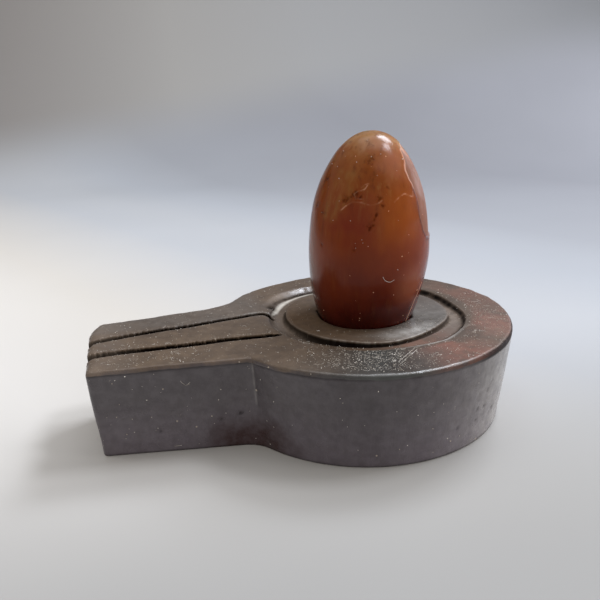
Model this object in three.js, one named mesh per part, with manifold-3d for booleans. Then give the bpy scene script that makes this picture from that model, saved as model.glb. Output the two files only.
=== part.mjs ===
// A small stone shivling: a polished egg-shaped stone standing in the socket of a carved base.
// The base is one stone: a round disc with a ring channel, and a spout with two cut grooves.
//
// Millimetres, +Z up. The origin is under the egg's foot, on the base's flat underside, and the
// spout points towards -X.

import * as THREE from 'three';
import { mergeVertices } from 'three/addons/utils/BufferGeometryUtils.js';
import Module from 'manifold-3d';

const wasm = await Module();
wasm.setup();

// Driving dimensions of the base.
const baseHeight = 13.0;
const disc = { x: -1.0, y: -0.3, radius: 21.0, draft: 1.45 };
const spout = {
  rootX: -18.3, tipX: -38.85,
  rootHalf: 10.6, tipHalf: 8.55,        // half widths at the top, at the root and at the tip
  rootY: 0.0, tipY: 0.35,               // the spout's middle drifts a little, as it was cut by hand
  rootDraft: 1.4, tipDraft: 2.6,        // how far each side leans in at the bottom
  endDraft: 0.65,
};
const corner = { frontTop: 0.9, frontBottom: 4.5, backTop: 7.0, backBottom: 8.0 };
// How far each rounded corner of the tip reaches along the spout's side, and along its end.
const tipCorner = { front: [0.5, 0.5], back: [1.9, 5.2] };
const topEdge = { side: 0.45, end: 1.2, drop: 0.55 };    // worn top edge, rounder at the spout's tip
const footEdge = { inset: 0.25, rise: 0.3 };

// Ring channel, raised inner disc and the socket that the egg stands in.
const channel = { outer: 14.1, inner: 11.5, depth: 0.9, floorHalf: 0.55 };
const innerDisc = { rise: 0.12, edge: 0.12 };
const seatGap = 0.3;

// The spout's grooves, as points along their middles (x, y), from the channel out through the tip.
const groove = { depth: 1.25, overrun: 1.5 };
const frontGroove = {
  width: 1.4,
  path: [[-13.6, -3.95], [-16.5, -3.75], [-20.6, -3.42], [-28.4, -3.2], [-34, -2.95], [-38.85, -3.05]],
};
const backGroove = {
  width: 1.25,
  path: [[-13.0, 4.4], [-14.8, 5.0], [-19.2, 4.65], [-25, 3.88], [-32, 2.92], [-38.85, 1.85]],
};

// The egg, measured from the base's top plane.
const egg = {
  radius: 8.38, widestAt: 9.8, upper: 15.8, lower: 17.1,
  upperPower: 2.03, lowerPower: 1.9, lean: 0.0369,
};
// A flake has come off its side. The scar is flatter than the egg, and this deep at its middle.
const flake = { height: 17.3, turn: -0.2, depth: 0.27, keepRadius: 15, keepStretch: 3 };

const eggSegments = 56;
const ringSegments = 72;

// ---------------------------------------------------------------- booleans

function solidOf(geometry) {
  const bare = geometry.clone();
  bare.deleteAttribute('normal');
  bare.deleteAttribute('uv');
  const merged = mergeVertices(bare, 1e-4);
  return new wasm.Manifold(new wasm.Mesh({
    numProp: 3,
    vertProperties: new Float32Array(merged.attributes.position.array),
    triVerts: new Uint32Array(merged.index.array),
  }));
}

function geometryOf(solid) {
  const mesh = solid.getMesh();
  const geometry = new THREE.BufferGeometry();
  geometry.setAttribute('position', new THREE.BufferAttribute(new Float32Array(mesh.vertProperties), 3));
  geometry.setIndex(new THREE.BufferAttribute(new Uint32Array(mesh.triVerts), 1));
  geometry.computeVertexNormals();
  return geometry;
}

// A lathe about the Z axis, from [radius, z] points.
function turned(points, segments) {
  const geometry = new THREE.LatheGeometry(points.map(([r, z]) => new THREE.Vector2(r, z)), segments);
  return geometry.rotateX(Math.PI / 2);
}

// ---------------------------------------------------------------- the base's outline

const lerp = THREE.MathUtils.lerp;

function arcPoints(centre, radius, from, to, count) {
  return Array.from({ length: count + 1 }, (_, i) => {
    const angle = lerp(from, to, i / count);
    return new THREE.Vector2(centre.x + radius * Math.cos(angle), centre.y + radius * Math.sin(angle));
  });
}

// The short way round from one angle to another.
function shortArc(centre, radius, from, to, count) {
  const turn = THREE.MathUtils.euclideanModulo(to - from + Math.PI, 2 * Math.PI) - Math.PI;
  return arcPoints(centre, radius, from, from + turn, count);
}

// The centre of a rounded inner corner: radius away from the line, and outside the disc by radius.
function filletCentre(start, along, outward, discMiddle, discRadius, radius) {
  const base = start.clone().addScaledVector(outward, radius);
  const reach = discRadius + radius;
  const from = base.clone().sub(discMiddle);
  const half = from.dot(along);
  const root = Math.sqrt(half * half - from.lengthSq() + reach * reach);
  return base.addScaledVector(along, -half + root);
}

// The keyhole outline, anticlockwise. down is 0 at the top and 1 at the bottom; side and end are
// how far the worn edge is drawn in.
function keyhole(down, side, end) {
  const middle = new THREE.Vector2(disc.x, disc.y);
  const radius = disc.radius - disc.draft * down - side;
  const tipX = spout.tipX + spout.endDraft * down + end;
  const halfAt = (x) => {
    const t = (x - spout.rootX) / (spout.tipX - spout.rootX);
    return lerp(spout.rootHalf, spout.tipHalf, t) - lerp(spout.rootDraft, spout.tipDraft, t) * down - side;
  };
  const middleAt = (x) => lerp(spout.rootY, spout.tipY, (x - spout.rootX) / (spout.tipX - spout.rootX));
  const stretch = {};
  for (const [name, sign] of [['front', -1], ['back', 1]]) {
    const start = new THREE.Vector2(spout.rootX, middleAt(spout.rootX) + sign * halfAt(spout.rootX));
    const tip = new THREE.Vector2(tipX, middleAt(tipX) + sign * halfAt(tipX));
    const along = tip.clone().sub(start).normalize();
    const outward = new THREE.Vector2(along.y, -along.x).multiplyScalar(sign);
    const fillet = lerp(corner[name + 'Top'], corner[name + 'Bottom'], down) + side;
    const centre = filletCentre(start, along, outward, middle, radius, fillet);
    const toDisc = middle.clone().sub(centre).angle();
    const toLine = outward.clone().negate().angle();
    stretch[name] = { centre, fillet, toDisc, toLine, tip, along, outward };
  }
  const { front, back } = stretch;
  const discFrom = middle.clone().sub(front.centre).negate().angle() - 2 * Math.PI;
  const discTo = middle.clone().sub(back.centre).negate().angle();
  const tipRound = ({ tip, along }, [sideReach, endReach], towardsMiddle) => {
    const backAlong = along.clone().multiplyScalar(-Math.max(sideReach - side, 0.15));
    const inAcross = new THREE.Vector2(0, towardsMiddle * Math.max(endReach - side, 0.15));
    return Array.from({ length: 7 }, (_, i) => {
      const turn = (i / 6) * Math.PI / 2;
      return tip.clone()
        .addScaledVector(backAlong, 1 - Math.sin(turn))
        .addScaledVector(inAcross, 1 - Math.cos(turn));
    });
  };
  return [
    ...arcPoints(middle, radius, discFrom, discTo, 58),
    ...shortArc(back.centre, back.fillet, back.toDisc, back.toLine, 8).slice(1),
    ...tipRound(back, tipCorner.back, -1),
    ...tipRound(front, tipCorner.front, 1).reverse(),
    ...shortArc(front.centre, front.fillet, front.toLine, front.toDisc, 6).slice(0, -1),
  ];
}

// A closed solid through outlines that have the same number of points.
function loft(levels) {
  const count = levels[0].outline.length;
  const positions = levels.flatMap(({ outline, z }) => outline.flatMap((p) => [p.x, p.y, z]));
  const index = [];
  for (let level = 0; level + 1 < levels.length; level += 1) {
    for (let i = 0; i < count; i += 1) {
      const a = level * count + i;
      const b = level * count + (i + 1) % count;
      index.push(a, b, b + count, a, b + count, a + count);
    }
  }
  const last = (levels.length - 1) * count;
  for (const [a, b, c] of THREE.ShapeUtils.triangulateShape(levels[0].outline, [])) index.push(a, c, b);
  for (const [a, b, c] of THREE.ShapeUtils.triangulateShape(levels.at(-1).outline, [])) {
    index.push(last + a, last + b, last + c);
  }
  const geometry = new THREE.BufferGeometry();
  geometry.setAttribute('position', new THREE.Float32BufferAttribute(positions, 3));
  geometry.setIndex(index);
  return geometry;
}

function baseBlank() {
  const levels = [
    { z: 0, side: footEdge.inset, end: footEdge.inset },
    { z: footEdge.rise, side: 0, end: 0 },
  ];
  const steps = 3;
  for (let i = 0; i <= steps; i += 1) {
    const turn = (i / steps) * Math.PI / 2;
    const inward = 1 - Math.cos(turn);
    levels.push({
      z: baseHeight - topEdge.drop * (1 - Math.sin(turn)),
      side: topEdge.side * inward,
      end: topEdge.end * inward,
    });
  }
  return loft(levels.map(({ z, side, end }) => ({ z, outline: keyhole(1 - z / baseHeight, side, end) })));
}

// ---------------------------------------------------------------- cuts in the base

function channelRing() {
  const { outer, inner, depth, floorHalf } = channel;
  const floor = baseHeight - depth;
  const middle = (outer + inner) / 2;
  return turned([
    [inner - 0.4, baseHeight + 1],
    [inner - 0.4, floor + 0.35],
    [middle - floorHalf, floor],
    [middle + floorHalf, floor],
    [outer - 0.35, floor + 0.4],
    [outer - 0.1, baseHeight - 0.3],
    [outer + 0.15, baseHeight],
    [outer + 0.15, baseHeight + 1],
    [inner - 0.4, baseHeight + 1],
  ], ringSegments);
}

function innerDiscPlug() {
  const top = baseHeight + innerDisc.rise;
  return turned([
    [0, baseHeight - 2.2],
    [channel.inner, baseHeight - 2.2],
    [channel.inner, top - innerDisc.edge],
    [channel.inner - innerDisc.edge, top],
    [0, top],
  ], ringSegments);
}

// A groove's cutter: its plan outline, pushed down from above the top face.
function grooveCutter({ width, path }) {
  const points = path.map(([x, y]) => new THREE.Vector2(x, y));
  const last = points.at(-1);
  const before = points.at(-2);
  points.push(last.clone().addScaledVector(last.clone().sub(before).normalize(), groove.overrun));
  const sideways = points.map((p, i) => {
    const from = points[Math.max(i - 1, 0)];
    const to = points[Math.min(i + 1, points.length - 1)];
    const along = to.clone().sub(from).normalize();
    return new THREE.Vector2(-along.y, along.x).multiplyScalar(width / 2);
  });
  const left = points.map((p, i) => p.clone().add(sideways[i]));
  const right = points.map((p, i) => p.clone().sub(sideways[i])).reverse();
  const cutter = new THREE.ExtrudeGeometry(new THREE.Shape([...left, ...right]), {
    depth: groove.depth + 1, bevelEnabled: false,
  });
  return cutter.translate(0, 0, baseHeight - groove.depth);
}

// ---------------------------------------------------------------- the egg

// The egg's profile from its foot to its top, grown outward by a clearance.
function eggProfile(grow, rows) {
  const radiusAt = (z) => {
    const rise = z - egg.widestAt;
    const [reach, power] = rise > 0 ? [egg.upper, egg.upperPower] : [egg.lower, egg.lowerPower];
    const share = Math.min(Math.abs(rise) / (reach + grow), 1);
    return (egg.radius + grow) * (1 - share ** power) ** (1 / power);
  };
  return Array.from({ length: rows + 1 }, (_, i) => {
    const turn = lerp(-Math.PI / 2, Math.PI / 2, i / rows);
    const reach = (turn > 0 ? egg.upper : egg.lower) + grow;
    const z = egg.widestAt + reach * Math.sin(turn);
    return [i === 0 || i === rows ? 0 : radiusAt(z), z];
  });
}

// Leans a solid that was turned about the Z axis, and stands it on the top plane.
function stood(geometry) {
  return geometry.rotateY(Math.atan(egg.lean)).translate(0, 0, baseHeight);
}

// A large ellipsoid that holds all of the egg but the flake, so that their overlap has the scar.
function scarredShape() {
  const rise = flake.height - egg.widestAt;
  const side = egg.radius * (1 - (rise / egg.upper) ** egg.upperPower) ** (1 / egg.upperPower);
  const slope = (egg.radius / egg.upper) ** 2 * rise / side;
  const { keepRadius, keepStretch, depth, turn, height } = flake;
  return new THREE.SphereGeometry(keepRadius, 80, 60)
    .scale(1, 1, keepStretch)
    .translate(-keepRadius - depth, 0, 0)
    .rotateY(-Math.atan(slope))
    .translate(side, 0, height)
    .rotateZ(turn);
}

// ---------------------------------------------------------------- the pieces

function yoniBase() {
  const socket = stood(turned(eggProfile(seatGap, 36), eggSegments));
  const solid = solidOf(baseBlank())
    .subtract(solidOf(channelRing()))
    .add(solidOf(innerDiscPlug()))
    .subtract(solidOf(socket))
    .subtract(solidOf(grooveCutter(frontGroove)))
    .subtract(solidOf(grooveCutter(backGroove)));
  const stone = new THREE.MeshStandardMaterial({ color: '#5b514e', roughness: 0.5, metalness: 0 });
  const mesh = new THREE.Mesh(geometryOf(solid), stone);
  mesh.name = 'yoni_base';
  return mesh;
}

function lingamStone() {
  const whole = solidOf(turned(eggProfile(0, 40), eggSegments));
  const scarred = whole.intersect(solidOf(scarredShape()));
  const agate = new THREE.MeshStandardMaterial({ color: '#7c3a1e', roughness: 0.3, metalness: 0 });
  const mesh = new THREE.Mesh(stood(geometryOf(scarred)), agate);
  mesh.name = 'lingam_stone';
  return mesh;
}

const shivling = new THREE.Group();
shivling.name = 'shivling';
shivling.add(yoniBase(), lingamStone());

export default shivling;
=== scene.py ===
"""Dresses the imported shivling: a polished agate egg standing in a carved, dusty stone base.

Sizes are in millimetres in the frame of the part: +Z up, the spout towards -X, and the origin under
the egg on the base's underside. Angles are about +Z from +X. Meshes are written in metres.
"""

import functools
import math

import bmesh
import bpy
import numpy as np
from mathutils import Matrix, Vector
from mathutils.geometry import delaunay_2d_cdt


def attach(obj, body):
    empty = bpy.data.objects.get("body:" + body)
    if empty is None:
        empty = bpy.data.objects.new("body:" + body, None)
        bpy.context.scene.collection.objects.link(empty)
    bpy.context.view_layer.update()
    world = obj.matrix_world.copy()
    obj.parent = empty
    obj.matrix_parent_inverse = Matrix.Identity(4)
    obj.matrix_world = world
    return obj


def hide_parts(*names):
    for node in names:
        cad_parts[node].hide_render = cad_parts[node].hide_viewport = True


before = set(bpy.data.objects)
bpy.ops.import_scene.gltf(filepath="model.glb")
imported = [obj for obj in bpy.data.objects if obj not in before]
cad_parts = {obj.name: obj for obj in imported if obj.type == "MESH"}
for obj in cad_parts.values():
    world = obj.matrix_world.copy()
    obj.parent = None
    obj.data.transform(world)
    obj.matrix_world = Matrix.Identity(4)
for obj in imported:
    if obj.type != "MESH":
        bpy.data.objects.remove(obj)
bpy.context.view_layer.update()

MM = 0.001
TURN = 2 * math.pi

# Driving dimensions of the base, as in the part.
BASE_HEIGHT = 13.0
DISC_MIDDLE = np.array([-1, -0.3])
DISC_RADIUS, DISC_DRAFT = 21, 1.45
SPOUT_ROOT_X, SPOUT_TIP_X = -18.3, -38.85
SPOUT_HALF = (10.6, 8.55)
SPOUT_MIDDLE_Y = (0, 0.35)
SPOUT_DRAFT = (1.4, 2.6)
END_DRAFT = 0.65
FRONT_CORNER, BACK_CORNER = (0.9, 4.5), (7, 8)
TIP_CORNER_FRONT, TIP_CORNER_BACK = (0.5, 0.5), (2, 5.1)
EDGE_SIDE, EDGE_SIDE_DROP = 0.45, 0.5
EDGE_END, EDGE_END_DROP = 1.05, 0.6
FOOT_INSET, FOOT_RISE = 0.25, 0.3
CHANNEL_OUTER, CHANNEL_INNER = 14.1, 11.55
DISC_RISE = 0.12
GROOVE_DEPTH = 1.25

# The egg, measured from the base's top plane.
EGG_RADIUS, EGG_WIDEST = 8.38, 9.8
EGG_UPPER, EGG_LOWER = 15.8, 17.1
EGG_UPPER_POWER, EGG_LOWER_POWER = 2.03, 1.9
EGG_LEAN = 0.0369


# ---------- small helpers


def waves(points, wavelength, seed, count=18):
    """A smooth random field over points, mostly between -1 and 1."""
    random = np.random.default_rng(seed)
    total = np.zeros(len(points))
    for _ in range(count):
        direction = random.normal(size=points.shape[1])
        direction /= np.linalg.norm(direction)
        length = wavelength * random.uniform(0.6, 1.7)
        total += np.sin(points @ direction * TURN / length + random.uniform(0, TURN))
    return total / math.sqrt(count)


def smooth(value, low, high):
    """0 below low, 1 above high, and an S-curve between."""
    t = np.clip((value - low) / (high - low), 0, 1)
    return t * t * (3 - 2 * t)


def bell(value, middle, width):
    return np.exp(-(((value - middle) / width) ** 2))


def bell_turn(angles, middle, width):
    """A bell over angles in radians. The middle and the width are in degrees."""
    away = (angles - math.radians(middle) + math.pi) % TURN - math.pi
    return np.exp(-((away / math.radians(width)) ** 2))


def wander(angles, bumps):
    """The sum of bells given as (middle, width, size), in degrees and millimetres."""
    return sum(size * bell_turn(angles, middle, width) for middle, width, size in bumps)


def between(start, stop, share):
    return start + (stop - start) * share


def unit(vectors):
    """Vectors scaled to a length of 1."""
    return vectors / np.linalg.norm(vectors, axis=-1, keepdims=True)


def strongest(*layers):
    """The greatest of some layers of values, point by point."""
    return functools.reduce(np.maximum, layers)


def polar(points):
    """The distances of plan points from the origin, and their angles."""
    return np.linalg.norm(points, axis=1), np.arctan2(points[:, 1], points[:, 0])


def from_polar(radius, angles):
    return np.column_stack([radius * np.cos(angles), radius * np.sin(angles)])


def away_from(points, place, scale=1):
    """How far points are from a place, with their axes scaled."""
    return np.linalg.norm((points - place) * scale, axis=1)


def spot(points, place, reach):
    """A bell over the distance from a place."""
    return bell(away_from(points, place), 0, reach)


def arc(centre, radius, start, stop, count):
    return centre + from_polar(radius, np.linspace(start, stop, count + 1))


def short_arc(centre, radius, start, stop, count):
    turn = (stop - start + math.pi) % TURN - math.pi
    return arc(centre, radius, start, start + turn, count)


def straight(start, stop, steps):
    """Points between two ends, without the ends."""
    return np.linspace(start, stop, steps + 1)[1:-1]


def angle_of(vector):
    return math.atan2(vector[1], vector[0])


def through(corners, count):
    """A number of points on each stretch between corners."""
    return np.vstack([np.linspace(a, b, count) for a, b in zip(corners, corners[1:])])


def evenly(corners, count=None):
    """Even points along a line, so many or a groove's step apart, and how far along each one is."""
    corners = np.array(corners, float)
    lengths = np.r_[0, np.cumsum(np.linalg.norm(np.diff(corners, axis=0), axis=1))]
    steps = np.linspace(0, lengths[-1], count or int(lengths[-1] / GROOVE_STEP))
    return np.column_stack([np.interp(steps, lengths, column) for column in corners.T]), steps


def nearest(points, line, chunk=2000):
    """For each point, the index of the nearest point of a dense line and the distance to it."""
    index = np.empty(len(points), int)
    distance = np.empty(len(points))
    for i in range(0, len(points), chunk):
        gaps = np.linalg.norm(points[i : i + chunk, None, :] - line[None, :, :], axis=2)
        index[i : i + chunk] = gaps.argmin(1)
        distance[i : i + chunk] = gaps.min(1)
    return index, distance


def add_object(name, data):
    made = bpy.data.objects.new(name, data)
    bpy.context.scene.collection.objects.link(made)
    return made


def ring_faces(rings):
    """Four-sided faces between rows of point numbers, each row a ring above the one before."""
    ahead = np.roll(rings, -1, axis=1)
    return np.stack([rings[:-1], ahead[:-1], ahead[1:], rings[1:]], axis=-1).reshape(-1, 4).tolist()


def make_object(name, points, faces, values=None):
    """A smooth-shaded mesh object from points in millimetres, with named values at its points."""
    mesh = bpy.data.meshes.new(name)
    mesh.from_pydata((points * MM).tolist(), [], faces)
    mesh.validate()
    mesh.shade_smooth()
    for key, numbers in (values or {}).items():
        layer = mesh.attributes.new(key, "FLOAT", "POINT")
        layer.data.foreach_set("value", np.clip(numbers, 0, 1).astype(np.float32))
    return add_object(name, mesh)


# ---------- material graphs


def colour(code):
    """A linear RGBA colour from sRGB hex digits."""
    parts = [int(code[i : i + 2], 16) / 255 for i in (0, 2, 4)]
    return (*(p / 12.92 if p <= 0.04045 else ((p + 0.055) / 1.055) ** 2.4 for p in parts), 1)


class Graph:
    """A material's nodes, built by short calls that hand back sockets."""

    def __init__(self, name):
        self.material = bpy.data.materials.new(name)
        self.material.use_nodes = True
        self.tree = self.material.node_tree
        self.shader = self.tree.nodes["Principled BSDF"]
        self.place = self.tree.nodes.new("ShaderNodeTexCoord").outputs["Object"]

    def feed(self, socket, value):
        if isinstance(value, bpy.types.NodeSocket):
            self.tree.links.new(value, socket)
        else:
            socket.default_value = value

    def finish(self, **inputs):
        """Feeds the shader's inputs, whose spaces are written as underscores."""
        for key, value in inputs.items():
            self.feed(self.shader.inputs[key.replace("_", " ")], value)
        return self.material

    def node(self, kind, inputs, **settings):
        made = self.tree.nodes.new("ShaderNode" + kind)
        for key, value in settings.items():
            setattr(made, key, value)
        for key, value in inputs.items():
            self.feed(made.inputs[key], value)
        return made

    def math(self, operation, *values):
        return self.node("Math", dict(enumerate(values)), operation=operation).outputs[0]

    def chain(self, operation, values):
        return functools.reduce(lambda total, value: self.math(operation, total, value), values)

    def times(self, *values):
        return self.chain("MULTIPLY", values)

    def plus(self, *values):
        return self.chain("ADD", values)

    def weighed(self, start, *parts):
        """A value plus parts of others, each given as (value, weight)."""
        return self.plus(start, *(self.times(value, weight) for value, weight in parts))

    def rest_of(self, value):
        return self.math("SUBTRACT", 1, value)

    def capped(self, value):
        return self.math("MINIMUM", value, 1)

    def map(self, value, low, high, to_low=0, to_high=1):
        inputs = {"Value": value, "From Min": low, "From Max": high, "To Min": to_low, "To Max": to_high}
        return self.node("MapRange", inputs, interpolation_type="SMOOTHSTEP").outputs["Result"]

    def mix(self, share, low, high, blend="MIX"):
        made = self.node("Mix", {0: share, 6: low, 7: high}, data_type="RGBA", blend_type=blend)
        return made.outputs[2]

    def coats(self, body, *layers):
        """A colour under coats given as (share, hex digits), one on the other."""
        for share, code in layers:
            body = self.mix(share, body, colour(code))
        return body

    def darker(self, share, body, code):
        """A colour that is multiplied by another over a share of it."""
        return self.mix(share, body, self.mix(1, body, colour(code), "MULTIPLY"))

    def gleam(self, dark):
        """A specular tint that fades where a cut is dark."""
        return self.mix(dark, colour("ffffff"), colour("202020"))

    def ramp(self, value, stops):
        made = self.node("ValToRGB", {"Fac": value})
        line = made.color_ramp
        while len(line.elements) < len(stops):
            line.elements.new(0.5)
        for element, (place, tone) in zip(line.elements, stops):
            element.position = place
            element.color = colour(tone)
        return made.outputs["Color"]

    def stretched(self, size):
        """The place in units of a size in millimetres, or of three sizes, one for each axis."""
        sizes = size if isinstance(size, tuple) else (size, size, size)
        scale = tuple(1 / (length * MM) for length in sizes)
        return self.node("Mapping", {"Vector": self.place, "Scale": scale}).outputs["Vector"]

    def axis(self, name):
        return self.node("SeparateXYZ", {"Vector": self.place}).outputs[name]

    def noise(self, size, detail=3, rough=0.5, twist=0, flat=False):
        """Noise of 0 to 1 with features of a size. Flat noise lies in the plan's plane."""
        inputs = {"Vector": self.stretched(size), "Scale": 1, "Detail": detail, "Roughness": rough}
        inputs["Distortion"] = twist
        return self.node("TexNoise", inputs, noise_dimensions="2D" if flat else "3D").outputs["Fac"]

    def __getitem__(self, key):
        """A named value of the mesh's points."""
        return self.node("Attribute", {}, attribute_name=key).outputs["Fac"]

    def patchy(self, key, field, *limits):
        """A named value, broken up by a field that is mapped between limits."""
        return self.times(self[key], self.map(field, *limits))

    def specks(self, spacing, radius, share, flat=False):
        """Dots of up to a radius in about a share of the cells. Flat dots lie in the plan's plane."""
        inputs = {"Vector": self.stretched(spacing), "Scale": 1}
        cells = self.node("TexVoronoi", inputs, voronoi_dimensions="2D" if flat else "3D")
        pick = self.node("SeparateColor", {"Color": cells.outputs["Color"]})
        chosen = self.math("LESS_THAN", pick.outputs[0], share)
        reach = self.map(pick.outputs[1], 0, 1, 0.3 * radius / spacing, radius / spacing)
        return self.times(chosen, self.math("LESS_THAN", cells.outputs["Distance"], reach))

    def threads(self, size, width):
        """Short winding fibres lying in the plan's plane, where noise crosses its middle."""
        away = self.math("ABSOLUTE", self.math("SUBTRACT", self.noise(size, 1, twist=1.2, flat=True), 0.5))
        patches = self.map(self.noise(1.3, 0, flat=True), 0.6, 0.64)
        return self.times(self.map(away, 0, width, 1, 0), patches)

    def bump(self, *layers):
        """A normal from layers of (height of 0 to 1, its depth in millimetres), one on the other."""
        normal = None
        for height, depth in layers:
            inputs = {"Height": height, "Distance": depth * MM, "Strength": 1}
            if normal:
                inputs["Normal"] = normal
            normal = self.node("Bump", inputs).outputs["Normal"]
        return normal


# ---------- camera, stage and lights

VIEW_AZIMUTH, VIEW_ELEVATION, VIEW_ROLL = math.radians(14.98), math.radians(18.33), math.radians(2.05)
CAMERA_DISTANCE, CAMERA_RIGHT, CAMERA_UP = 92.94, -9.61, 1.79
CAMERA_LENS, SENSOR_WIDTH = 38.4, 36
RING_CENTRE = np.array([0, 0, BASE_HEIGHT])


def make_camera():
    """Looks at the ring's centre, which the photograph shows right of and a little below the middle."""
    data = bpy.data.cameras.new("camera")
    data.lens, data.sensor_width = CAMERA_LENS, SENSOR_WIDTH
    data.clip_start, data.clip_end = 0.005, 20
    camera = add_object("camera", data)
    turn = Matrix.Rotation(-VIEW_AZIMUTH, 4, "Z") @ Matrix.Rotation(math.pi / 2 - VIEW_ELEVATION, 4, "X")
    from_ring = Matrix.Translation(Vector((CAMERA_RIGHT, CAMERA_UP, CAMERA_DISTANCE)) * MM)
    to_ring = Matrix.Translation(Vector(RING_CENTRE) * MM)
    camera.matrix_world = to_ring @ turn @ Matrix.Rotation(-VIEW_ROLL, 4, "Z") @ from_ring
    bpy.context.scene.camera = camera


FLOOR_REACH, WALL_DISTANCE, SWEEP_RADIUS, WALL_HEIGHT = 900, 420, 200, 260
# Painted light and shade on the stage: tones of the paper that darken away from the window, and of the wall
# from left to right.
PAPER_TONES = [
    (0, "e3dfd8"), (0.11, "d5d0c7"), (0.27, "bcbec0"), (0.36, "b7b9bb"),
    (0.46, "acafb3"), (0.6, "9b9da1"), (1, "87888c"),
]
WALL_TONES = [(0, "8e8a86"), (0.3, "9a9894"), (0.55, "919190"), (1, "797a7b")]
# A painted soft shadow over the front of the floor, a faint haze of darker patches, and painted shade over
# the wall's upper part.
FRONT_TONE, HAZE_TONE, UPPER_TONE = "a6a5a2", "f4f4f4", "4c4c50"
# Where each ramp of tones starts and how far it reaches, and where one tone gives way to another.
PAPER_START, PAPER_REACH, PAPER_SLANT = -95, 621, 2.2
WALL_START, WALL_REACH, WALL_SLANT = -100, 370, -0.15
FRONT_EDGE, WALL_EDGE, UPPER_EDGE = (-45, 20), (8, 48), (105, 150)


def make_stage():
    """A pale floor that sweeps up into a wall behind the object, with painted light and shade in its tones.
    """
    back = np.array([math.sin(VIEW_AZIMUTH), math.cos(VIEW_AZIMUTH)])
    side_on = np.array([back[1], -back[0]])
    profile = [(-FLOOR_REACH, 0)]
    for turn in np.linspace(0, math.pi / 2, 25):
        reach = WALL_DISTANCE - SWEEP_RADIUS * (1 - math.sin(turn))
        profile.append((reach, SWEEP_RADIUS * (1 - math.cos(turn))))
    profile.append((WALL_DISTANCE, WALL_HEIGHT))
    sides = (-FLOOR_REACH, FLOOR_REACH)
    points = [[*(back * reach + side_on * side), z] for reach, z in profile for side in sides]
    faces = [(2 * i, 2 * i + 1, 2 * i + 3, 2 * i + 2) for i in range(len(profile) - 1)]
    floor = make_object("floor", np.array(points), faces)
    g = Graph("floor_paper")
    x, y, z = (g.times(g.axis(name), 1 / MM) for name in "XYZ")
    away = g.plus(g.times(x, PAPER_SLANT), y, -PAPER_START)
    # Painted light: the paper darkens away from the window.
    paper = g.ramp(g.times(away, 1 / PAPER_REACH), PAPER_TONES)
    # Painted soft shadow over the front of the floor.
    paper = g.mix(g.map(y, *FRONT_EDGE), colour(FRONT_TONE), paper)
    paper = g.darker(g.noise(60, 2), paper, HAZE_TONE)
    wall = g.ramp(g.times(g.plus(x, -WALL_START), 1 / WALL_REACH), WALL_TONES)
    tone = g.mix(g.map(g.plus(z, g.times(x, WALL_SLANT)), *WALL_EDGE), paper, wall)
    # Painted shade over the wall's upper part.
    tone = g.mix(g.map(z, *UPPER_EDGE), tone, colour(UPPER_TONE))
    floor.data.materials.append(g.finish(Base_Color=tone, Roughness=0.9, Specular_IOR_Level=0.2))


# Each light: its direction from the egg in degrees, its distance and size in millimetres, its power
# in watts, its colour, and whether it shows in reflections.
LIGHTS = {
    "window_right_pane": (33, 52.5, 480, (170, 130), 1.2, "eef4ff", True),
    "window_left_pane": (-6, 60, 480, (115, 95), 0.72, "f1f5ff", True),
    "overhead": (75, 80, 560, (420, 420), 0.8, "f4f6ff", True),
    "right": (20, 13, 400, (260, 170), 0.5, "eef2ff", True),
    "right_fill": (-16, 7, 450, (300, 110), 1.6, "fbf8f8", False),
    "left_fill": (168, 28, 450, (300, 200), 0.4, "fffaf4", False),
    "front_fill": (-102, 15, 620, (500, 350), 1.33, "fff6ee", False),
}
ROOM_TONE, ROOM_STRENGTH = "d8dade", 0.44


def make_lights():
    for name, (azimuth, elevation, distance, size, power, tint, mirrored) in LIGHTS.items():
        data = bpy.data.lights.new(name, "AREA")
        data.shape = "RECTANGLE"
        data.size, data.size_y = size[0] * MM, size[1] * MM
        data.energy = power
        data.color = colour(tint)[:3]
        light = add_object(name, data)
        a, e = math.radians(azimuth), math.radians(elevation)
        away = Vector((math.cos(a) * math.cos(e), math.sin(a) * math.cos(e), math.sin(e)))
        light.location = Vector((0, 0, 20 * MM)) + away * distance * MM
        light.rotation_euler = away.to_track_quat("Z", "Y").to_euler()
        light.visible_glossy = mirrored
    world = bpy.data.worlds.new("world")
    world.use_nodes = True
    background = world.node_tree.nodes["Background"]
    background.inputs["Color"].default_value = colour(ROOM_TONE)
    background.inputs["Strength"].default_value = ROOM_STRENGTH
    bpy.context.scene.world = world
    bpy.context.scene.view_settings.view_transform = "Standard"


# ---------- the base's outline

DISC_STEPS, TIP_STEPS, END_STEPS = 400, 28, 60
# The spout's sides, back and front: the sign of Y, the radius of the inner corner at the top and at
# the bottom, how far the tip's corner reaches along the side and the end, and the steps of each.
SPOUT_SIDES = ((1, BACK_CORNER, TIP_CORNER_BACK, 26, 48), (-1, FRONT_CORNER, TIP_CORNER_FRONT, 16, 60))


def spout_side(sign, down, inset, tip_x):
    """The root and tip of one long side of the spout, and its unit directions along and outward."""
    ends = []
    for x in (SPOUT_ROOT_X, tip_x):
        t = (x - SPOUT_ROOT_X) / (SPOUT_TIP_X - SPOUT_ROOT_X)
        half = between(*SPOUT_HALF, t) - (between(*SPOUT_DRAFT, t) * down + inset)
        ends.append(np.array([x, between(*SPOUT_MIDDLE_Y, t) + sign * half]))
    along = unit(ends[1] - ends[0])
    outward = np.array([along[1], -along[0]]) * sign
    return ends[0], ends[1], along, outward


def inner_corner(start, along, outward, radius, disc_radius):
    """The centre of the round that joins a side of the spout to the disc."""
    base = start + outward * radius
    offset = base - DISC_MIDDLE
    half = offset @ along
    reach = disc_radius + radius
    return base + along * (math.sqrt(half * half - offset @ offset + reach * reach) - half)


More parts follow.
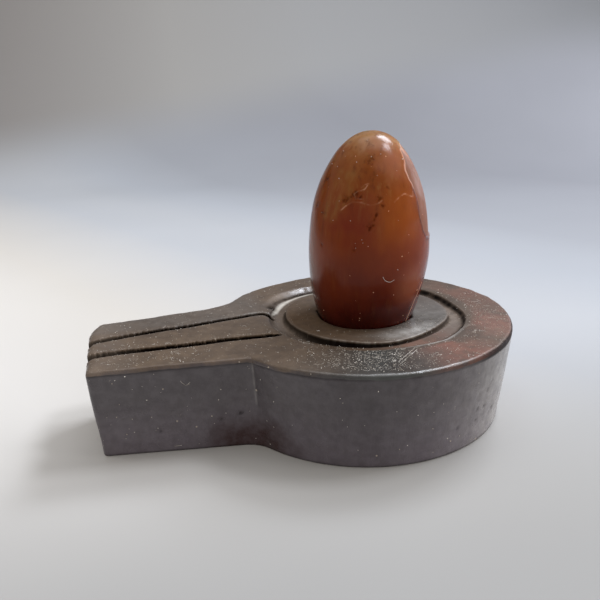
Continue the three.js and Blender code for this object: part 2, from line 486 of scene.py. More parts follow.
def tip_corner(tip, along, reaches, inset, across):
    """A corner of the tip, rounded from the side of the spout to its end."""
    on_side = -along * max(reaches[0] - inset, 0.15)
    on_end = np.array([0, across * max(reaches[1] - inset, 0.15)])
    turn = np.linspace(0, math.pi / 2, TIP_STEPS + 1)[:, None]
    return tip + (1 - np.sin(turn)) * on_side + (1 - np.cos(turn)) * on_end


def keyhole(down, inset=0, end_inset=None):
    """The base's outline, anticlockwise. down is 0 at the top and 1 at the bottom."""
    disc_radius = DISC_RADIUS - DISC_DRAFT * down - inset
    tip_x = SPOUT_TIP_X + END_DRAFT * down + (inset if end_inset is None else end_inset)
    sides, turns = [], []
    for sign, corner, tip_reaches, bend_steps, side_steps in SPOUT_SIDES:
        root, tip, along, outward = spout_side(sign, down, inset, tip_x)
        radius = between(*corner, down) + inset
        centre = inner_corner(root, along, outward, radius, disc_radius)
        bend = short_arc(centre, radius, angle_of(DISC_MIDDLE - centre), angle_of(-outward), bend_steps)
        rounded = tip_corner(tip, along, tip_reaches, inset, -sign)
        sides.append(np.vstack([bend, straight(bend[-1], rounded[0], side_steps), rounded]))
        turns.append(angle_of(centre - DISC_MIDDLE))
    back, front = sides
    disc = arc(DISC_MIDDLE, disc_radius, turns[1], turns[0], DISC_STEPS)
    return np.vstack([disc, back[1:], straight(back[-1], front[-1], END_STEPS), front[:0:-1]])


# ---------- the base's top face

# Profiles of the channel's outer wall: offsets from its hand-cut edge, and the heights at them.
WALL_OFFSETS = np.array([-1.7, -1.2, -0.85, -0.6, -0.38, -0.2, -0.08, 0.02, 0.2, 0.55, 2.2])
STEEP_WALL = [-0.88, -0.87, -0.82, -0.74, -0.57, -0.34, -0.15, -0.075, -0.04, 0, 0]
GENTLE_WALL = [-0.84, -0.68, -0.52, -0.4, -0.28, -0.19, -0.13, -0.09, -0.05, -0.01, 0]
SHOULDER_OFFSETS = np.array([0.95, 1.35, 1.75])
SHOULDERED_OFFSETS = np.insert(WALL_OFFSETS, -1, SHOULDER_OFFSETS)
SHOULDERED_WALL = [
    -0.9, -0.9, -0.89, -0.88, -0.87, -0.84, -0.84, -0.82, -0.78, -0.6, -0.37, -0.14, -0.02, 0,
]
# The wall of the inner disc, as (offset, height) from its own edge.
DISC_WALL = np.array([
    (-1, -0.88), (-0.6, -0.86), (-0.32, -0.8), (-0.14, -0.6), (-0.06, -0.2), (0, 0),
    (0.06, 0.045), (0.24, 0.11), (0.45, 0.12),
])
# Where each kind of edge lies, as a middle and a spread in degrees.
CHAMFER_TURN = (-46, 27)
GENTLE_TURN, SHOULDER_TURN = (-148, 40), (111, 25)
# Bumps of the hand-cut edges, as (middle, spread, size).
CHANNEL_WANDER = [
    (0, 17, -0.62), (31, 10, 0.28), (-67, 9, 0.2), (-95, 14, -0.22), (-133, 17, -0.2), (118, 30, 1.05),
]
DISC_WANDER = [(-103, 18, 0.38), (-57, 22, -0.5), (137, 30, 0.4), (-161, 18, -0.18)]
# Dirt in the front of the channel, and a pale tone, partly dust and partly painted light, that reaches so
# far in at angles of its back.
SILT_TURN, SILT_DEPTH = (-92, 48), 0.42
CREAM_TURN, CREAM_REACHES = (133, 32), ([104, 112, 135, 150, 163], [0.45, 0.6, 0.8, 0.95, 0])
# Red stains of the ring, as (middle, spread, strength).
RED_STAINS = ((-74, 15, 0.95), (-34, 20, 0.7), (5, 24, 0.5))
# The socket: its mouth, its clearance below, how far it lies along X, and where its profile ends. The
# depths are those of its rings of points, and the apron's rings lie outside its mouth.
SEAT_RADIUS, SEAT_GAP, SEAT_SHIFT, SEAT_REACH = 6.76, 0.3, -0.26, 8.5
SEAT_WANDER = [(157, 5, 0.32), (-40, 5, 0.3)]
SEAT_DEPTHS = (7.2, 6.6, 5.4, 4, 2.6, 1.4, 0.6)
SEAT_APRON = (0.6, 1, 1.5)
# The inner disc dips towards the socket on one side, and the ring has a dark dent.
DIP_TURN, DIP_DEPTH, DIP_REACH = (-135, 32), 0.12, 1.4
DARK_DENT, DENT_DEPTH, DENT_REACH = np.array([-12.3, 8]), 0.35, 1
# Rows of points across a groove and how far others keep clear, in half widths. The near lip is its
# width and drop.
GROOVE_SHARES = (0, 0.4, 0.75, 0.92, 0.985, 1.03, 1.12, 1.32, 1.65)
CLEAR_SHARE = 1.7
NEAR_LIP = (0.5, 0.075)
GROOVE_STEP, GROOVE_OVERRUN, MOUTH_FLARE, GROOVE_SMOOTHING = 0.11, 1.2, 0.45, 5
# Rows of points over the worn rim, as shares of its width, and up the side, as shares of its height.
EDGE_SHARES = (0.1, 0.28, 0.52, 0.8, 1.15)
WALL_SHARES = np.r_[np.linspace(0, 0.95, 40), 0.965, 0.978, 0.99, 1]
FOOT_ROWS = 4
FILL_SPACING, UNDER_SPACING = 0.42, 1.6

# Marks on the side, each a place, its reach and its depth, and a scratch along points of the wall.
SIDE_PITS = [
    ((9.53, -17.72, 7.24), 0.28, 0.16), ((9.13, -17.67, 5.03), 0.24, 0.12),
    ((11.15, -16.15, 3.78), 0.26, 0.12), ((10.6, -16.6, 3.4), 0.22, 0.1),
    ((7.76, -18.22, 3.57), 0.24, 0.12), ((7.86, -18.37, 5.18), 0.3, 0.1),
    ((4.53, -19.48, 3.7), 0.28, 0.08), ((-20.71, -9.38, 5.12), 0.35, 0.12),
    ((-23.15, -8.88, 4.35), 0.25, 0.12), ((-30.9, -7.6, 3.3), 0.3, 0.08),
]
SIDE_SCRATCH = np.array([(7.3, -18.9, 6.9), (7.9, -18.6, 7.6), (9.2, -17.97, 7.9), (10.4, -17.33, 8.5)])
SIDE_CREASE = np.array([(-19.13, -10.79, 12.4), (-18.95, -10.4, 9.6), (-18.7, -10.2, 6.5)])
# The side turns a darker red-brown towards this corner by its foot.
DARK_CORNER = np.array([-18.45, -9.28, 0.7])


def egg_radius(z):
    """The egg's radius at a height above the base's top plane."""
    rise = z - EGG_WIDEST
    upper = 1 - np.clip(rise / EGG_UPPER, 0, 1) ** EGG_UPPER_POWER
    lower = 1 - np.clip(-rise / EGG_LOWER, 0, 1) ** EGG_LOWER_POWER
    return EGG_RADIUS * np.where(rise > 0, upper ** (1 / EGG_UPPER_POWER), lower ** (1 / EGG_LOWER_POWER))


def seat_wall():
    """The socket's profile from its mouth inward: it keeps clear of the egg below the mouth."""
    below = [(float(egg_radius(-depth)) + SEAT_GAP - SEAT_RADIUS - 0.24, -depth) for depth in SEAT_DEPTHS]
    return np.array([(-SEAT_RADIUS, -7.6)] + below + [(0, -0.1), (0.08, -0.02), (0.25, 0)])


def ripple(angles, seed):
    """A small unevenness along a hand-cut round edge."""
    ring = from_polar(13, angles)
    layers = enumerate(((9, 0.06), (1.6, 0.025), (0.7, 0.022)))
    return sum(size * waves(ring, length, seed + i) for i, (length, size) in layers)


def channel_edge(angles):
    return CHANNEL_OUTER + wander(angles, CHANNEL_WANDER) + ripple(angles, 3)


def disc_edge(angles):
    return CHANNEL_INNER + wander(angles, DISC_WANDER) + 0.6 * ripple(angles, 5)


def seat_edge(angles):
    """The socket's mouth fits the egg, apart from two small gaps at its sides."""
    return SEAT_RADIUS + SEAT_SHIFT * np.cos(angles) + wander(angles, SEAT_WANDER) + 0.2 * ripple(angles, 7)


class Groove:
    """A cut along a bent line, with ragged edges, wider at the tip, that runs out at its root."""

    def __init__(self, corners, widths, lip, taper, seed):
        corners = np.array(corners)
        beyond = corners[-1] + GROOVE_OVERRUN * unit(corners[-1] - corners[-2])
        line, self.steps = evenly([*corners, beyond])
        pad = np.pad(line, ((GROOVE_SMOOTHING,) * 2, (0, 0)), mode="reflect", reflect_type="odd")
        box = np.ones(2 * GROOVE_SMOOTHING + 1) / (2 * GROOVE_SMOOTHING + 1)
        self.line = np.column_stack([np.convolve(column, box, "valid") for column in pad.T])
        along = unit(np.gradient(self.line, axis=0))
        self.far = np.column_stack([along[:, 1], -along[:, 0]])
        self.lip, self.taper = lip, taper
        width = np.interp(self.steps, self.steps[[0, -1]], widths)
        opening = np.sqrt(np.clip(self.steps / taper, 0.0004, 1))
        opening *= 1 + MOUTH_FLARE * smooth(-self.line[:, 0], -SPOUT_TIP_X - 1.1, -SPOUT_TIP_X + 0.2)
        self.half = {}
        for sign, rough in ((-1, 0.5), (1, 1)):
            steps = self.steps[:, None]
            ragged = 0.07 * waves(steps, 2.4, seed + sign) + 0.075 * waves(steps, 0.6, seed + 7 + sign)
            self.half[sign] = width / 2 * opening * (1 + rough * ragged)

    def rows(self):
        """Points along the groove, row by row across its profile."""
        shares = [sign * share for sign in (-1, 1) for share in GROOVE_SHARES[1:]]
        sides = [self.far * (share * self.half[1 if share > 0 else -1])[:, None] for share in shares]
        return np.vstack([self.line] + [self.line + side for side in sides])

    def look(self, points):
        """For each point: how deep the cut is, its offset in half widths, and its lip's height."""
        index, distance = nearest(points, self.line)
        offset = ((points - self.line[index]) * self.far[index]).sum(1)
        half = np.where(offset < 0, self.half[-1][index], self.half[1][index])
        off_end = (index == 0) & (distance > np.abs(offset) + 0.02)
        share = np.where(off_end, 9, offset / half)
        deep = GROOVE_DEPTH * np.clip(1 - np.abs(share) ** 3.2, 0, 1) ** 0.5
        deep *= np.clip(self.steps[index] / (self.taper * 1.3), 0.15, 1)
        width, drop = (np.where(offset > 0, far, near) for far, near in zip(self.lip, NEAR_LIP))
        beyond = np.clip((np.abs(offset) - half) / width, 0, 1)
        lip = np.where(off_end, 0, drop * (1 - beyond) ** 2)
        return np.where(np.abs(share) < 1, deep, 0), share, lip


def make_grooves():
    """The spout's two grooves, from the ring out to the tip. The far lip's width and drop come third."""
    front = [
        (-13.6, -3.95), (-16.5, -3.74), (-19.3, -3.55), (-21.9, -3.3), (-24.5, -3.3), (-29.7, -3.08),
        (-32.2, -2.97), (-35.9, -2.82), (-38.85, -3.03),
    ]
    back = [
        (-13.25, 3.3), (-13.55, 4.3), (-13.95, 4.85), (-14.6, 5.12), (-15.6, 5.14), (-17.6, 4.93),
        (-20.6, 4.65), (-23.6, 4.17), (-26.4, 3.75), (-29.2, 3.45), (-32, 2.98), (-35.9, 2.51),
        (-37.9, 2.1), (-38.85, 1.75),
    ]
    return [
        Groove(front, (1.3, 1.65), (0.4, 0.07), 1.5, 21),
        Groove(back, (1.15, 1.5), (0.9, 0.1), 0.5, 41),
    ]


def hexagonal(low, high, spacing, seed):
    """A jittered honeycomb of points over a rectangle."""
    random = np.random.default_rng(seed)
    rows = np.arange(low[1], high[1], spacing * 0.866)
    points = np.array([
        (x + (spacing / 2 if row % 2 else 0), y)
        for row, y in enumerate(rows)
        for x in np.arange(low[0], high[0], spacing)
    ])
    return points + random.uniform(-0.12, 0.12, points.shape) * spacing


def triangulate(plan, count):
    """Triangles over plan points whose first points, in order, are the closed outline."""
    edges = [(i, (i + 1) % count) for i in range(count)]
    found = delaunay_2d_cdt([Vector(p) for p in plan], edges, [], 1, 1e-6)
    points = np.array([[v.x, v.y] for v in found[0]])
    origin = [min(ids) if ids else len(plan) for ids in found[3]]
    order = sorted(range(len(points)), key=lambda i: origin[i])
    place = np.empty(len(points), int)
    place[order] = np.arange(len(points))
    return points[order], [tuple(int(place[i]) for i in face) for face in found[2]]


class TopPlaces:
    """Points of the top face, measured from the features there."""

    def __init__(self, shape, plan):
        self.plan = plan
        self.x, self.y = plan.T
        self.radius, self.angle = polar(plan)
        self.offset = self.radius - channel_edge(self.angle)
        self.from_disc = self.radius - disc_edge(self.angle)
        self.mouth = self.radius - seat_edge(self.angle)
        self.cuts = [groove.look(plan) for groove in shape.grooves]
        self.rim_index, distance = nearest(plan, shape.rim)
        self.from_rim = distance / shape.rim_width[self.rim_index]
        self.in_channel = smooth(self.from_disc, 0, 0.3) * (1 - smooth(self.offset, -0.35, -0.1))
        self.on_disc = smooth(-self.from_disc, 0, 0.4)
        self.dusty_strip = self.turn(-104, 23) * smooth(self.radius, 13.6, 14.5)
        self.spout_back = smooth(self.y, 3, 5.5) * smooth(-self.x, 12, 16)
        self.bright_lip = bell(self.cuts[1][1], 1.2, 0.15) * smooth(self.x, -19, -16.5)

    def turn(self, middle, width):
        """A bell over the points' angles, in degrees."""
        return bell_turn(self.angle, middle, width)


class BaseShape:
    """The carved base: heights over its plan, then one closed mesh."""

    def __init__(self):
        self.edge_down = EDGE_SIDE_DROP / BASE_HEIGHT
        self.rim = keyhole(self.edge_down)
        self.foot = keyhole(1 - FOOT_RISE / BASE_HEIGHT)
        ahead = np.roll(self.rim, -1, axis=0) - np.roll(self.rim, 1, axis=0)
        self.outward = unit(np.column_stack([ahead[:, 1], -ahead[:, 0]]))
        at_tip = smooth(-self.rim[:, 0], -SPOUT_TIP_X - 1.8, -SPOUT_TIP_X - 0.2)
        worn = 1 + 0.16 * waves(self.rim, 3.5, 61) + 0.1 * waves(self.rim, 0.9, 62)
        self.rim_width = between(EDGE_SIDE, EDGE_END, at_tip) * worn
        self.rim_drop = between(EDGE_SIDE_DROP, EDGE_END_DROP, at_tip) * (0.4 + 0.6 * worn)
        self.grooves = make_grooves()
        self.seat_wall = seat_wall()

    def height(self, points):
        """The top face's height over points of the plan."""
        at = TopPlaces(self, points)
        shouldered = np.minimum(1.3 * at.turn(*SHOULDER_TURN), 1)
        outer = np.interp(at.offset, WALL_OFFSETS, STEEP_WALL)
        gentle = np.interp(at.offset, WALL_OFFSETS, GENTLE_WALL)
        outer = between(outer, gentle, at.turn(*GENTLE_TURN))
        outer = between(outer, np.interp(at.offset, SHOULDERED_OFFSETS, SHOULDERED_WALL), shouldered)
        inner = np.interp(-at.from_disc, *DISC_WALL.T)
        middle = (CHANNEL_OUTER + CHANNEL_INNER) / 2
        floor = DISC_WALL[0, 1] + SILT_DEPTH * at.turn(*SILT_TURN)
        z = BASE_HEIGHT + np.maximum(np.where(at.radius > middle, outer, inner), floor)
        seat = np.interp(at.mouth, *self.seat_wall.T)
        dip = DIP_DEPTH * at.turn(*DIP_TURN) * np.clip(1 - at.mouth / DIP_REACH, 0, 1) ** 2
        z += np.where(at.radius < SEAT_REACH, seat, 0) - dip * (at.mouth > -0.3)
        z += 0.045 * waves(points, 15, 11) + 0.012 * waves(points, 4, 12)
        z -= DENT_DEPTH * spot(points, DARK_DENT, DENT_REACH)
        chatter = waves(points, 1.1, 13) * bell(at.offset, 0.9, 0.9) * smooth(at.angle, 1.95, 2.3)
        z += 0.03 * shouldered * chatter
        for deep, _, lip in at.cuts:
            z -= (deep + lip) * (at.radius > CHANNEL_OUTER - 1.2)
        share = np.clip(at.from_rim, 0, 1)
        return z - self.rim_drop[at.rim_index] * (1 - np.sqrt(1 - (1 - share) ** 2))

    def on_top(self, plan, lift=0):
        """Points on the top face, or a little above it, from points of the plan."""
        return np.column_stack([plan, self.height(plan) + lift])

    def ring_points(self):
        """Rings of points that follow the channel, the disc's edge and the seat."""
        rings = []
        for edge, offsets, steps in (
            (channel_edge, WALL_OFFSETS[:-1], 400),
            (channel_edge, SHOULDER_OFFSETS, 260),
            (disc_edge, -DISC_WALL[1:, 0], 360),
            (seat_edge, self.seat_wall[1:, 0], 220),
            (seat_edge, SEAT_APRON, 160),
        ):
            angles = np.linspace(0, TURN, steps, endpoint=False)
            rings += [from_polar(edge(angles) + offset, angles) for offset in offsets]
        return np.vstack(rings)

    def plan_points(self):
        """The rim, then points that follow each feature, then an even fill."""
        rings = self.ring_points()
        in_ring = np.linalg.norm(rings, axis=1) < CHANNEL_OUTER - 0.6
        edges = np.vstack([
            keyhole(self.edge_down, EDGE_SIDE * share, EDGE_END * share) for share in EDGE_SHARES
        ])
        cuts = np.vstack([groove.rows() for groove in self.grooves])
        on_land = np.linalg.norm(cuts, axis=1) > CHANNEL_OUTER - 0.6
        fill = hexagonal(self.rim.min(0), self.rim.max(0), FILL_SPACING, 31)
        radius = np.linalg.norm(fill, axis=1)
        clear = (radius < CHANNEL_INNER - 0.7) & (radius > SEAT_REACH + 0.1)
        clear |= (radius > CHANNEL_OUTER + 2) & self.off_grooves(fill, CLEAR_SHARE)
        return np.vstack([
            self.rim,
            edges[self.off_grooves(edges, CLEAR_SHARE)],
            rings[self.off_grooves(rings, CLEAR_SHARE) | in_ring],
            cuts[on_land & self.inside(cuts, 0.04)],
            fill[clear & self.inside(fill, 0.75)],
            [[0, 0]],
        ])

    def off_grooves(self, points, share):
        """Whether points lie away from both grooves, by a share of their half widths."""
        return np.all([np.abs(groove.look(points)[1]) > share for groove in self.grooves], axis=0)

    def inside(self, points, margin):
        """Whether points lie inside the rim by more than a margin."""
        index, distance = nearest(points, self.rim)
        return (((points - self.rim[index]) * self.outward[index]).sum(1) < 0) & (distance > margin)

    def wall(self, rim_z):
        """Rings of points up the side, from the underside's edge to the rim at the given heights."""
        rows = []
        for turn in np.linspace(0, math.pi / 2, FOOT_ROWS, endpoint=False):
            z = FOOT_RISE * (1 - math.cos(turn))
            ring = keyhole(1 - z / BASE_HEIGHT, FOOT_INSET * (1 - math.sin(turn)))
            rows.append(np.column_stack([ring, np.full(len(ring), z)]))
        rim_down_z = BASE_HEIGHT * (1 - self.edge_down)
        for share in WALL_SHARES:
            z = between(FOOT_RISE, rim_z, share)
            blend = ((z - FOOT_RISE) / (rim_down_z - FOOT_RISE))[:, None]
            ring = np.column_stack([between(self.foot, self.rim, blend), z])
            fade = math.sin(math.pi * share) ** 0.5 if 0 < share < 1 else 0
            rows.append(self.mark_side(ring, fade))
        return rows

    def mark_side(self, ring, fade):
        """Moves a ring of the side in and out: an uneven finish, pits, a scratch and the crease."""
        move = 0.05 * waves(ring, 11, 71) + 0.014 * waves(ring, 3, 72)
        for place, reach, depth in SIDE_PITS:
            move -= depth * spot(ring, place, reach)
        for line, reach, depth in ((SIDE_SCRATCH, 0.22, 0.09), (SIDE_CREASE, 0.3, 0.12)):
            move -= depth * bell(nearest(ring, through(line, 30))[1], 0, reach)
        ring[:, :2] += self.outward * (move * fade)[:, None]
        return ring

    def mesh(self):
        """All of the base as points, faces, and the number of points of the top face."""
        count = len(self.rim)
        plan, faces = triangulate(self.plan_points(), count)
        top = self.on_top(plan)
        rows = self.wall(top[:count, 2])
        self.side = np.vstack(rows)
        top[:count] = rows.pop()
        points = [top] + rows
        rings = len(top) + np.arange(len(rows) * count).reshape(-1, count)
        faces += ring_faces(np.vstack([rings, np.arange(count)]))
        fill = hexagonal(self.foot.min(0), self.foot.max(0), UNDER_SPACING, 32)
        fill = fill[self.inside(fill, 3.6)]
        under, under_faces = triangulate(np.vstack([rows[0][:, :2], fill]), count)
        place = np.r_[rings[0], len(top) + len(rows) * count + np.arange(len(under) - count)]
        points.append(np.column_stack([under[count:], np.zeros(len(under) - count)]))
        faces += [tuple(int(place[i]) for i in reversed(face)) for face in under_faces]
        return np.vstack(points), faces, len(top)

    def look(self, points, top_count):
        """Named values at each point of the top and then of the side, 0 where a value has no say."""
        top, side = points[:top_count], points[top_count:]
        at = TopPlaces(self, top[:, :2])
        above = {value.__name__: value(at) for value in TOP_VALUES}
        beside = side_values(side)
        return {
            key: np.r_[above.get(key, np.zeros(len(top))), beside.get(key, np.zeros(len(side)))]
            for key in above | beside
        }


# Each function below gives one value of the top face, which the base's material reads by its name.


def upper(at):
    """The top, as far as the worn edge."""
    return smooth(at.from_rim, 0.1, 0.5)


def grit(at):
    """How thickly dust and lint lie."""
    on_ring = smooth(at.radius, CHANNEL_OUTER - 0.2, CHANNEL_OUTER + 0.4)
    beside_ring = (1 - on_ring) * smooth(at.radius, CHANNEL_INNER, CHANNEL_INNER + 0.8)
    middle = at.radius < CHANNEL_INNER
    return strongest(
        0.82 * at.turn(-108, 25) * on_ring * smooth(-at.radius, -20.7, -19.7),
        0.42 * at.turn(-30, 42) * on_ring,
        0.55 * at.turn(-140, 26) * beside_ring,
        0.35 * bell(at.x, -33, 9) * bell(at.y, -6.2, 2.2),
        0.2 * at.turn(-85, 45) * middle,
        *(0.5 * bell(np.abs(share), 1.35, 0.3) for _, share, _ in at.cuts),
        0.08 - 0.05 * middle,
    )


def cream(at):
    """A pale tone at the foot of the channel's back wall, partly dust and partly painted light, and painted
    highlights along the front edges.
    """
    reach = np.interp(np.degrees(at.angle), *CREAM_REACHES)
    pale_dust_and_light = smooth(at.offset, -reach - 0.25, -reach) * (1 - smooth(at.offset, -0.45, -0.3))
    pale_dust_and_light *= at.in_channel * at.turn(*CREAM_TURN) ** 0.4 * (reach > 0)
    # Painted highlights along the inner disc's front edge and the channel's front edge.
    edge_highlights = strongest(
        0.4 * bell(at.from_disc, -0.12, 0.1) * at.turn(-95, 50),
        0.45 * bell(at.offset, 0.05, 0.14) * at.turn(-75, 22),
    )
    return np.maximum(pale_dust_and_light, edge_highlights * np.clip(0.5 + 0.8 * waves(at.plan, 0.9, 83), 0, 1))


def beige(at):
    """Dry dirt in the channel, along its rim and at the spout's tip, and a painted highlight line along the
    channel's edge at the right.
    """
    return strongest(
        at.turn(-15, 34) * smooth(-at.offset, 0.4, 0.8) * at.in_channel,
        0.5 * at.turn(-178, 22) * at.in_channel,
        0.6 * at.turn(130, 17) * bell(at.offset, 1.1, 0.4),
        0.3 * smooth(-at.x, 31, 37),
        # Painted highlight along the channel's edge at the right.
        0.8 * at.turn(-20, 30) * bell(at.offset, 0, 0.16),
    )


def painted_shade(at):
    """Painted shade: the dark of the cuts, the steep walls, the back's crease, the worn rim, a dent and the
    socket.
    """
    broken = np.clip(0.85 + 0.22 * waves(at.plan, 1.7, 81), 0, 1)
    outer_wall = smooth(-at.offset, 0.02, 0.12) * (1 - smooth(-at.offset, 0.45, 1.1))
    crease = bell(at.offset, 0.1, 0.32) * np.minimum(1.3 * at.turn(122, 24), 1)
    foot = 0.3 - 0.22 * at.turn(-70, 40) + 0.2 * at.turn(-150, 26)
    disc_wall = smooth(at.from_disc, -0.03, 0.03) * (1 - smooth(at.from_disc, foot, foot + 0.25))
    on_land = smooth(at.radius, CHANNEL_OUTER - 0.9, CHANNEL_OUTER - 0.5)
    return strongest(
        outer_wall * broken * (1 - at.turn(-150, 40)) * (1 - 0.75 * at.turn(135, 22)),
        0.9 * crease * broken,
        disc_wall * (0.75 + 0.25 * at.turn(-120, 60)),
        0.85 * (1 - smooth(at.from_rim, 0.32, 0.7)) * chamfered(at.angle),
        0.9 * spot(at.plan, DARK_DENT, 1.05 * DENT_REACH),
        *((1 - smooth(np.abs(share), 0.985, 1.03)) * on_land for _, share, _ in at.cuts),
        smooth(-at.mouth, -0.06, 0.1),
    )


def red(at):
    """The red stain of the ring's front and right, and of the channel's front."""
    stains = strongest(*(size * at.turn(middle, spread) for middle, spread, size in RED_STAINS))
    return np.maximum(stains * smooth(at.radius, 14.4, 15.6), 0.55 * at.turn(-72, 26) * at.in_channel)


def dusty(at):
    """A thin dull layer, thicker towards the spout and worn off in places."""
    thick = 0.3 + 0.55 * smooth(-at.x, 2, 12)
    thick *= (1 - 0.85 * at.dusty_strip) * (1 - 0.7 * at.spout_back)
    return thick * (1 - 0.85 * at.turn(-40, 75) * at.on_disc)


# Brown over the inner disc's left, partly the stone's tone and partly painted shade where the egg's shadow
# and dark reflection fall.
def brown(at):
    return at.on_disc * at.turn(-180, 62)


def grey(at):
    return strongest(at.dusty_strip, 0.15 * at.spout_back, 0.45 * at.on_disc * at.turn(-50, 48))


def pale_and_sheen(at):
    """Painted sheen: painted reflections on the inner disc's front and right, painted highlight lines along
    the rim's front, the channel's front edge and the back groove's far lip, and a faint pale tone on the
    spout's back.
    """
    return strongest(
        at.on_disc * at.turn(-72, 26) * (0.2 + 0.8 * bell(at.radius, 9.9, 1.3)),
        0.28 * at.on_disc * at.turn(-25, 40),
        0.1 * at.spout_back,
        0.5 * at.turn(-92, 26) * bell(at.from_rim, 0.62, 0.2),
        at.turn(-68, 20) * bell(at.offset, 0.1, 0.17),
        0.8 * at.bright_lip * (at.radius > CHANNEL_OUTER),
    )


def glint(at):
    return np.maximum(at.turn(103, 9) * bell(at.offset, 1, 0.45), at.bright_lip)


def shine(at):
    """Where the polish is best: the ring's front and back, the inner disc and the rim."""
    return strongest(
        at.turn(-100, 30) * smooth(at.radius, 13.4, 14.2),
        at.turn(112, 16) * bell(at.offset, 0.9, 1.1),
        at.turn(-60, 50) * at.on_disc,
        (1 - smooth(at.from_rim, 0.6, 1.1)) * (1 - 0.7 * at.turn(-50, 20)),
    )


TOP_VALUES = (upper, grit, cream, beige, painted_shade, red, dusty, brown, grey, pale_and_sheen, glint, shine)


def chamfered(angle):
    """Where the worn rim is a broad chamfer, painted dark with shade."""
    return np.minimum(1.6 * bell_turn(angle, *CHAMFER_TURN), 1)


def side_values(side):
    """The same for the side: painted shade at its edges, along its foot and in its pits, dark red by the
    corner, and a painted reflection at its right end with a pale line along the crease.
    """
    angle = np.arctan2(side[:, 1], side[:, 0])
    below = BASE_HEIGHT - EDGE_SIDE_DROP - side[:, 2]
    # Painted shade: under the rim's edge, on the chamfer, a little over the front, along the foot as a
    # contact shadow, and in the pits.
    dark = strongest(
        0.5 * bell(below, 0.05, 0.24),
        0.9 * (1 - smooth(below, 0.25, 0.55)) * chamfered(angle),
        0.14 * bell_turn(angle, -110, 17),
        0.7 * (1 - smooth(side[:, 2], 0.05, 0.45)),
        *(0.9 * spot(side, place, 0.75 * reach) for place, reach, _ in SIDE_PITS),
    )
    from_corner = away_from(side, DARK_CORNER, [0.8, 0.8, 1.3]) + 0.8 * waves(side, 5, 82)
    crease = bell(nearest(side, through(SIDE_CREASE, 20))[1], 0, 0.2)
    # Painted reflection at the side's right end, and a pale line along the crease.
    pale = np.maximum(0.44 * bell_turn(angle, -42, 26) + 0.05, 0.22 * crease)
    return {"painted_shade": dark, "corner_dark": 1 - smooth(from_corner, 2, 7), "pale_and_sheen": pale}


def make_base(shape):
    points, faces, top_count = shape.mesh()
    made = make_object("carved_base", points, faces, shape.look(points, top_count))
    made.data.materials.append(base_stone())
    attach(made, "root")
    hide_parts("yoni_base")


LEAST_ROUGHNESS = 0.08


def base_stone():
    """Dark stone with a satin polish: browner on top, stained red in places, under dust, with painted shade
    in its cuts and hollows and painted sheen and highlights.
    """
    g = Graph("base_stone")
    above = g["upper"]
    beside = g.rest_of(above)
    dark = g["painted_shade"]
    broad, fine = g.noise(8, 3, 0.5), g.noise(1.1, 4, 0.6)
    side = g.ramp(broad, [(0.3, "433e42"), (0.7, "484347")])
    # Painted bounce light: the side turns paler towards the bottom, as if lit from the floor.
    side = g.coats(side, (g.map(g.axis("Z"), 0, 10 * MM, 0.8, 0), "59525a"))
    top = g.ramp(broad, [(0.3, "493b2f"), (0.5, "544435"), (0.7, "5d4c3c")])
    dusty_top = g.patchy("dusty", g.noise(3.5, 5, 0.65), 0.35, 0.7, 0.2, 0.8)
    body = g.coats(
        g.mix(above, side, top),
        (g.patchy("red", g.noise(4, 4, 0.6), 0.36, 0.54, 0.25, 1), "82503e"),
        (dusty_top, "6d5a45"),
        # Brown over the disc's left, partly painted shade.
        (g.times(g["brown"], 0.85), "5c462e"),
        (g["grey"], "41423f"),
        # Painted sheen: reflections and highlight lines on the top, and a painted reflection at the side's
        # right end.
        (g.patchy("pale_and_sheen", g.noise(1.6, 5, 0.7), 0.35, 0.6, 0.55, 1), "b4b1ab"),
    )
    # Beige dirt, and a painted highlight line along the channel's right edge.
    beige_dirt_and_highlight = g.patchy("beige", fine, 0.3, 0.65, 0.4, 1)
    body = g.coats(
        g.darker(g.map(fine, 0.3, 0.7, 0, 0.3), body, "8a8078"),
        # Darker red-brown towards the corner by the foot.
        (g.patchy("corner_dark", fine, 0.3, 0.7, 0.7, 1), "2e1a19"),
        # Painted shade over the cuts, the steep walls, the chamfer, a dent, the socket, the side's pits and
        # its foot.
        (dark, "0d0806"),
        (beige_dirt_and_highlight, "85776a"),
        # A pale tone in the channel's back, partly dust and partly painted light, and painted highlight
        # lines along the front edges.
        (g.patchy("cream", fine, 0.25, 0.6, 0.7, 1), "c9c2b5"),
    )
    dust = g.times(g.capped(loose_dust(g, above, beside)), g.rest_of(dark))
    body = g.coats(body, (g.times(dust, 0.65), "b5a999"))
    rough = g.weighed(
        g.map(broad, 0.3, 0.7, 0.38, 0.46), (fine, 0.08), (g["shine"], -0.2),
        (g["glint"], -0.3), (beside, -0.2), (dusty_top, 0.25), (g["brown"], 0.3),
        (dust, 0.4), (dark, 0.55), (beige_dirt_and_highlight, 0.3),
    )
    scratches = g.times(g.noise((9, 0.25, 0.25), 2, 0.5), above)
    strokes = g.times(g.noise((1.1, 1.1, 9), 3, 0.6), beside)
    grain = g.noise(0.35, 4, 0.7)
    return g.finish(
        Base_Color=body, Roughness=g.math("MAXIMUM", g.capped(rough), LEAST_ROUGHNESS),
        Normal=g.bump((grain, 0.012), (scratches, 0.01), (strokes, 0.06), (fine, 0.025), (dust, 0.04)),
        Specular_IOR_Level=0.5, Specular_Tint=g.gleam(dark),
    )


